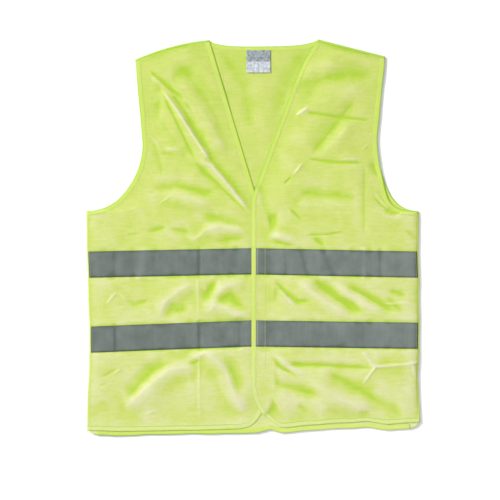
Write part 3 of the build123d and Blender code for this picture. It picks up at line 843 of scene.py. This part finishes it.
def binding_material():
    """Woven bias binding: a fine diagonal twill, with painted shade along its rim, on the fronts' neck edges
    above their tapes and along its inner edge on the fronts' hems, and painted light that makes it paler low
    on the fronts.

    Its pattern's U is the distance along the edge, from the neck point on the fronts; V is the distance in.
    """
    twill = Finish("binding_twill", BINDING_MID, 0.64, sheen=0.08, specular=0.16, translucence=0.3)
    uv = twill.pattern()
    along, inwards = twill.part(uv, "X"), twill.part(uv, "Y")
    ribs = twill.ribs(uv, "DIAGONAL", 0.8)
    grain = twill.mottle(uv, 3.0, 3.0, 0.6)
    # painted shade darkens the binding where U is short, on the fronts' neck edges; past the lower tape on
    # the fronts it takes paler colours as painted light
    tone = twill.sum((ribs, 0.3), (grain, 0.7), (twill.stretch(along, 0.36, 0.3), -0.45))
    above = twill.blend(tone, BINDING_DARK, BINDING_LIGHT)
    below = twill.blend(tone, BINDING_LIT_LOW_DARK, BINDING_LIT_LOW_LIGHT)
    woven = twill.blend(twill.stretch(along, 0.58, 0.68), above, below)
    # painted shade: a dark line along the binding's outer edge, strongest on the fronts' neck edges, and
    # another along its inner edge on the fronts' hems
    rim = twill.stretch(inwards, 1.7 * MM, 0.5 * MM)
    rim = twill.math("MULTIPLY", rim, twill.stretch(along, 0.3, 0.38, 1.0, 0.3))
    inner = twill.stretch(inwards, 6.9 * MM, 8.0 * MM)
    inner = twill.math("MULTIPLY", inner, twill.stretch(along, 0.72, 0.8))
    twill.feed("Base Color", twill.blend(twill.math("ADD", rim, inner), woven, BINDING_RIM_SHADE))
    twill.bump(twill.sum((ribs, 1.0), (grain, 1.0)), 0.1, 0.7)
    return twill.material


def tape_material():
    """Grey retroreflective tape: fine glass beads on cloth, with faint handling marks, painted shade in its
    creases and painted highlights on its crests, and a tone that grows lighter towards +X.
    """
    tape = Finish("reflective_tape", TAPE_MID, 0.55, specular=0.2)
    uv = tape.pattern()
    beads = tape.noise(uv, 0.6, 2.0, 0.7)
    stretched = tape.node("Mapping", "Vector", {"Vector": uv, "Scale": (1.0, 0.1, 1.0)})
    streaks = tape.mottle(stretched, 7.0, 5.0, 0.65, low=0.32)
    patches = tape.mottle(uv, 45.0, 3.0, 0.6)
    across = tape.part(uv, "X")
    # the relief paints shade in the tape's creases and highlights on its crests
    tone = tape.sum((beads, 0.2), (streaks, 0.14), (patches, 0.55), (tape.relief(), 0.9), (across, 0.35))
    tape.feed("Base Color", tape.blend(tone, TAPE_DARK, TAPE_LIGHT))
    tape.feed("Roughness", tape.stretch(patches, 0.0, 1.0, 0.48, 0.64))
    tape.bump(tape.sum((beads, 1.0), (streaks, 0.6)), 0.08, 0.6)
    return tape.material


def plain_weave_material(name, dark, light, roughness, period_mm, sheen=0.1):
    """A woven ribbon or thread with crossing ribs."""
    weave = Finish(name, tuple((a + b) / 2 for a, b in zip(dark, light)), roughness, sheen=sheen)
    uv = weave.pattern()
    ribs = weave.math("MULTIPLY", weave.ribs(uv, "X", period_mm), weave.ribs(uv, "Y", period_mm))
    grain = weave.mottle(uv, period_mm * 2.5, 3.0, 0.6, low=0.32)
    weave.feed("Base Color", weave.blend(weave.sum((ribs, 0.4), (grain, 0.6)), dark, light))
    weave.bump(weave.math("ADD", ribs, grain), 0.08, 0.6)
    return weave.material


# The knit's dark end is its own darker tone and the painted shade in valleys; its light end is its own paler
# tone and the painted highlights and painted light
KNIT_DARK, KNIT_MID, KNIT_LIGHT = (0.39, 0.585, 0.045), (0.54, 0.645, 0.155), (0.67, 0.70, 0.385)
BINDING_DARK, BINDING_MID, BINDING_LIGHT = (0.50, 0.63, 0.11), (0.54, 0.65, 0.14), (0.59, 0.68, 0.19)
# the rim colour is painted shade along the binding's edges
BINDING_RIM_SHADE = (0.32, 0.54, 0.04)
# the binding's colours low on the fronts are painted paler: painted light
BINDING_LIT_LOW_DARK, BINDING_LIT_LOW_LIGHT = (0.52, 0.63, 0.17), (0.62, 0.68, 0.29)        # the binding low on the fronts
# the tape's dark end also serves as painted shade in its creases, and its light end as painted highlights on
# its crests
TAPE_DARK, TAPE_MID, TAPE_LIGHT = (0.088, 0.108, 0.093), (0.125, 0.148, 0.13), (0.18, 0.21, 0.192)

KNIT = knit_material()
TWILL = binding_material()
REFLECTIVE = tape_material()
THREAD = plain_weave_material("lime_thread", (0.55, 0.64, 0.2), (0.72, 0.78, 0.36), 0.5, 0.4, 0.2)
# the thread rows close to the tapes' edges are coloured dark green as painted shade: the shadow line beside
# each tape's edge
TAPE_SHADE_THREAD = plain_weave_material("tape_shade_thread", (0.02, 0.16, 0.03), (0.05, 0.28, 0.07), 0.6, 0.4)
# the shoulder seams' darker green is painted shade along the shoulder seams by the neck
SHADED_SEAM_KNIT = plain_weave_material("shaded_seam_knit", (0.27, 0.5, 0.02), (0.5, 0.64, 0.12), 0.6, 1.2)
WHITE_RIBBON = plain_weave_material("white_ribbon", (0.22, 0.26, 0.29), (0.82, 0.84, 0.90), 0.4, 2.0)
GREY_RIBBON = plain_weave_material("grey_ribbon", (0.09, 0.12, 0.13), (0.50, 0.55, 0.58), 0.4, 2.0)
HOOK_NYLON = plain_weave_material("hook_nylon", (0.5, 0.66, 0.12), (0.68, 0.8, 0.2), 0.4, 0.9)
LOOP_PILE = plain_weave_material("loop_pile", (0.5, 0.66, 0.1), (0.7, 0.82, 0.2), 0.85, 0.7, 0.4)


# ---- joining pieces to the frame


def attach(piece, body, slot, *nodes):
    """Puts a piece on its body and hides the CAD nodes that it stands for; the slot, its finish, is not used.

    For body "left" or "right" the piece is only baked into world space and put on no body.
    """
    if body in SIDE:
        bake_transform(piece)
    else:
        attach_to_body(piece, body)
    if nodes:
        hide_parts(*nodes)


def halves(panel, part):
    """The CAD nodes of a panel's part, which on a front is in two halves that meet at its fold line."""
    return [f"back_{part}"] if panel == "back" else [f"{panel}_{part}_side", f"{panel}_{part}_flap"]


# ---- panels

panels = {}
cuts = {"left": front_cut("left"), "right": front_cut("right"), "back": back_cut()}
for panel, cut in cuts.items():
    grid = surface(panel, cut[..., 0], cut[..., 1])
    label = "back_cloth" if panel == "back" else f"{panel}_front_cloth"
    panels[panel] = shell(label, grid, CLOTH, cut, KNIT)
    attach(panels[panel], panel, "knit", *halves(panel, "panel" if panel == "back" else "front"))


# ---- tapes

def tape_grid(panel, level):
    """A tape's place on its panel: from the free edge to the side seam, or right across the back."""
    reach = HALF_WIDTH - TAPE_END_GAP
    if panel == "back":
        x = np.linspace(-reach, reach, 246)
    else:
        x = SIDE[panel] * np.linspace(SIDE[panel] * TAPE_START[panel], reach, 124)
    down = np.linspace(0, TAPE_WIDTH, 15)
    across = np.broadcast_to(x, (len(down), len(x)))
    rows = tape_top_y(panel, level, x)[None, :] - down[:, None]
    return np.stack([across, rows], axis=-1)


for panel, level in TAPE_TOP:
    pattern = tape_grid(panel, level)
    grid = surface(panel, pattern[..., 0], pattern[..., 1])
    lift = (CLOTH + TAPE) / 2 + 0.05
    grid[..., 2] += -lift if panel == "back" else lift
    piece = shell(f"{panel}_{level}_tape_cloth", grid, TAPE, pattern, REFLECTIVE)
    attach(piece, panel, "reflective_tape", *halves(panel, f"{level}_tape"))


# ---- bindings

def front_edge_path(side):
    """The free edge of one front from the neck point down, then the hem out to the side seam."""
    cut = cuts[side]
    return np.concatenate([cut[::-1, 0], cut[0, 1:]])


def binding(name, panel, path, turn):
    """A binding round one edge of a panel."""
    rings, uv = binding_rings(panel, path, turn)
    return swept(name, rings, uv, TWILL)


def side_edge(side):
    """A front's outer edge: the part above the armpit, which is its armhole, and the part below."""
    rows = cuts[side][:, -1]
    return rows[rows[:, 1] >= ARMPIT_Y], rows[rows[:, 1] <= ARMPIT_Y]


bindings = {}
for side, turn in SIDE.items():
    path = resampled(front_edge_path(side), 2.5, soften=4)
    bindings[side] = binding(f"{side}_edge_binding_cloth", side, path, turn)
    attach(bindings[side], side, "binding", f"{side}_front_binding", f"{side}_hem_binding")

back_hem = binding("back_hem_cloth", "back", resampled(cuts["back"][0], 3.0, soften=2), 1)
attach(back_hem, "back", "binding", "back_hem_binding")

neck_x = np.linspace(NECK["right"][0], NECK["left"][0], 80)
neck_path = resampled(np.stack([neck_x, back_top_y(neck_x)], axis=1), 2.5, soften=2)
neck_band = binding("neck_binding_cloth", "back", neck_path, -1)
attach(neck_band, "back", "binding", "neck_binding")

for side, turn in SIDE.items():
    path = resampled(side_edge(side)[0], 2.5, soften=2)
    piece = binding(f"{side}_armhole_cloth", side, path, turn)
    attach(piece, "back", "binding", f"{side}_armhole_binding")
    attach(binding(f"{side}_armhole_cloth_back", "back", path, turn), "back", "binding")


# ---- seams

SEAM_SAMPLE = 1.0               # how far in from the edge a seam takes its place on both panels,
SEAM_INSET = 0.6                # how much further in the middle of its roll is
SEAM_HALF = 2.2                 # and half the roll's width
SEAM_ROOM = 0.25                # how far the roll stands above and below the cloth


def seam(name, side, path, material):
    """A soft rolled seam that takes in the edges of a front and the back."""
    normal = inward(path, SIDE[side])
    inside = path + normal * SEAM_SAMPLE
    front = surface(side, inside[:, 0], inside[:, 1])
    back = surface("back", inside[:, 0], inside[:, 1])
    half = (front[:, 2] - back[:, 2]) / 2 + CLOTH / 2 + SEAM_ROOM
    run = run_along(path)
    rings = []
    uvs = []
    for angle in np.linspace(0, 2 * np.pi, 14, endpoint=False):
        ring = (front + back) / 2
        ring[:, :2] += normal * (SEAM_INSET + SEAM_HALF * np.cos(angle))
        ring[:, 2] += half * np.sin(angle)
        rings.append(ring)
        uvs.append(np.stack([run, np.full_like(run, angle * 2.0)], axis=1))
    return swept(name, np.stack(rings, axis=1), np.stack(uvs, axis=1), material)


for side in SIDE:
    piece = seam(f"{side}_side_seam_cloth", side, resampled(side_edge(side)[1], 3.0), KNIT)
    attach(piece, "back", "knit", f"{side}_side_seam")
    # the shoulder seam's darker colour is painted shade
    piece = seam(f"{side}_shoulder_seam_cloth", side, resampled(cuts[side][-1], 3.0), SHADED_SEAM_KNIT)
    attach(piece, "back", "knit", f"{side}_shoulder_seam")


# ---- fastener strips and labels

for side, face, name, material in (("left", -1, "hook", HOOK_NYLON), ("right", 1, "loop", LOOP_PILE)):
    pattern = np.stack(np.meshgrid(np.linspace(*FASTENER_X, 12), np.linspace(*FASTENER_Y, 110)), axis=-1)
    grid = surface(side, pattern[..., 0], pattern[..., 1])
    grid[..., 2] += face * (CLOTH / 2 + 0.4)
    strip = shell(f"{name}_strip_cloth", grid, STRIP, pattern, material)
    attach(strip, f"{side}_front", f"{name}s", f"{name}_strip")

for name, lift, material in (("care_label", 0.55, WHITE_RIBBON), ("size_label", 1.0, GREY_RIBBON)):
    x = np.linspace(LABEL_X - LABEL_WIDTH / 2, LABEL_X + LABEL_WIDTH / 2, 32)
    down = np.linspace(0, LABEL_LENGTH[name], 30)
    pattern = np.stack(np.meshgrid(x, LABEL_TOP - down), axis=-1)
    grid = surface("back", pattern[..., 0], pattern[..., 1])
    curl = LABEL_CURL * smooth(down / LABEL_LENGTH["care_label"]) ** 2
    grid[..., 2] += lift + CLOTH / 2 + curl[:, None]
    label = shell(f"{name}_cloth", grid, LABEL, pattern, material)
    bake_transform(label)
    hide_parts(name)


# ---- stitching

STITCH_INSET = 6.9              # from an edge to the row of stitches in its binding
SEAM_STITCH_INSET = 5.0         # and to the row beside a seam
TAPE_STITCH_INSET = 0.5         # and from a tape's edge to its row
# Two rows that hold the hook strip or the loop strip, and one across its foot
ROW_X = (FASTENER_X[0] + 2.0, FASTENER_X[1] - 1.0)
ROW_TOP = -20.5
ROW_FOOT = FASTENER_Y[0] + 2.0
FASTENER_ROWS = [
    [(ROW_X[0], ROW_TOP), (ROW_X[0], ROW_FOOT)],
    [(ROW_X[1], ROW_TOP), (ROW_X[1], ROW_FOOT)],
    [(ROW_X[0], ROW_FOOT), (ROW_X[1], ROW_FOOT)],
]


def thread_run(panel, path, lift):
    """A path on a panel's pattern as points on its face, over any tape that it crosses."""
    path = resampled(path, 2.0)
    x, y = path[:, 0], path[:, 1]
    run = surface(panel, x, y)
    for level in TAPE_LEVELS:
        below = tape_top_y(panel, level, x) - y
        run[:, 2] += np.where((below > 0) & (below < TAPE_WIDTH), TAPE + 0.05, 0.0)
    run[:, 2] += lift
    return run


def edge_run(panel, path, turn):
    """The row of stitches along one edge's binding."""
    path = resampled(path, 2.5, soften=4)
    path = path + inward(path, turn) * STITCH_INSET
    run = surface(panel, path[:, 0], path[:, 1])
    run[:, 2] += 0.36
    return run


def tape_runs(panel, face):
    """The rows of stitches along both edges of a panel's tapes."""
    runs = []
    for level in TAPE_LEVELS:
        grid = tape_grid(panel, level)
        for inset in (TAPE_STITCH_INSET, TAPE_WIDTH - TAPE_STITCH_INSET):
            run = surface(panel, grid[0, :, 0], grid[0, :, 1] - inset)
            run[:, 2] += face * (CLOTH / 2 + TAPE + 0.1)
            runs.append(run)
    return runs


for side, turn in SIDE.items():
    runs = [edge_run(side, front_edge_path(side), turn)]
    lift = CLOTH / 2 + (0.12 if side == "left" else 0.9)
    runs += [thread_run(side, row, lift) for row in FASTENER_ROWS]
    piece = stitches(f"{side}_edge_stitching", runs, THREAD, gap=0.3, radius=0.3)
    attach(piece, side, "binding")
    # dark green thread beside each tape edge, painted shade along the tape's edges
    piece = stitches(f"{side}_tape_stitching", tape_runs(side, 1), TAPE_SHADE_THREAD, gap=0.3, radius=0.4)
    attach(piece, side, "reflective_tape")
    armhole, below = side_edge(side)
    shoulder = cuts[side][-1, 4:-4] - (0, SEAM_STITCH_INSET)
    below = below - (turn * SEAM_STITCH_INSET, 0)
    runs = [edge_run(side, armhole, turn)]
    runs += [thread_run(side, row, CLOTH / 2 + 0.15) for row in (shoulder, below)]
    attach(stitches(f"{side}_seam_stitching", runs, THREAD, gap=0.7, radius=0.17), "back", "knit")

runs = [edge_run("back", cuts["back"][0], 1), edge_run("back", neck_path, -1)]
attach(stitches("back_stitching", runs, THREAD, gap=0.7, radius=0.17), "back", "binding")
piece = stitches("back_tape_stitching", tape_runs("back", -1), TAPE_SHADE_THREAD, gap=0.3, radius=0.17)
attach(piece, "back", "reflective_tape")


# ---- floor, light and camera

LIGHTS = (                      # name, place, what it is aimed at, size of the square lamp, watts
    ("key", (-5.0, 3.3, 4.0), (0, 0, 0), 1.3, 550),
    ("sheen", (-1.8, 0.8, 3.4), (0, 0, 0), 0.6, 26),
    ("fill", (0.45, -0.35, 1.4), (0.1, -0.3, 0), 1.0, 7.8),
)
ROOM_LIGHT = 0.33
FLOOR_SHADE = 0.86
FLOOR_HALF = 30.0
CAMERA_HEIGHT = 2.6
FRAME_WIDTH = 0.955             # how much of the floor the picture's width shows
SENSOR = 36.0
AIM = (-0.0033, -0.0236)

scene = bpy.context.scene
scene.view_settings.view_transform = "Standard"

corners = [(x * FLOOR_HALF, y * FLOOR_HALF, 0) for x, y in ((-1, -1), (1, -1), (1, 1), (-1, 1))]
mesh = bpy.data.meshes.new("floor")
mesh.from_pydata(corners, [], [(0, 1, 2, 3)])
mesh.materials.append(Finish("floor_white", (FLOOR_SHADE,) * 3, 0.9, specular=0.1).material)
floor = bpy.data.objects.new("floor", mesh)
scene.collection.objects.link(floor)

world = bpy.data.worlds.new("soft_room")
world.use_nodes = True
world.node_tree.nodes["Background"].inputs["Color"].default_value = (1, 1, 1, 1)
world.node_tree.nodes["Background"].inputs["Strength"].default_value = ROOM_LIGHT
scene.world = world
for name, place, aim, size, power in LIGHTS:
    lamp = bpy.data.lights.new(name, "AREA")
    lamp.size = size
    lamp.energy = power
    holder = bpy.data.objects.new(name, lamp)
    holder.location = place
    holder.rotation_euler = (Vector(aim) - Vector(place)).to_track_quat("-Z", "Y").to_euler()
    scene.collection.objects.link(holder)

camera_data = bpy.data.cameras.new("camera")
camera_data.sensor_width = SENSOR
camera_data.lens = SENSOR * CAMERA_HEIGHT / FRAME_WIDTH
camera = bpy.data.objects.new("camera", camera_data)
camera.location = (AIM[0], AIM[1], CAMERA_HEIGHT)
scene.collection.objects.link(camera)
scene.camera = camera
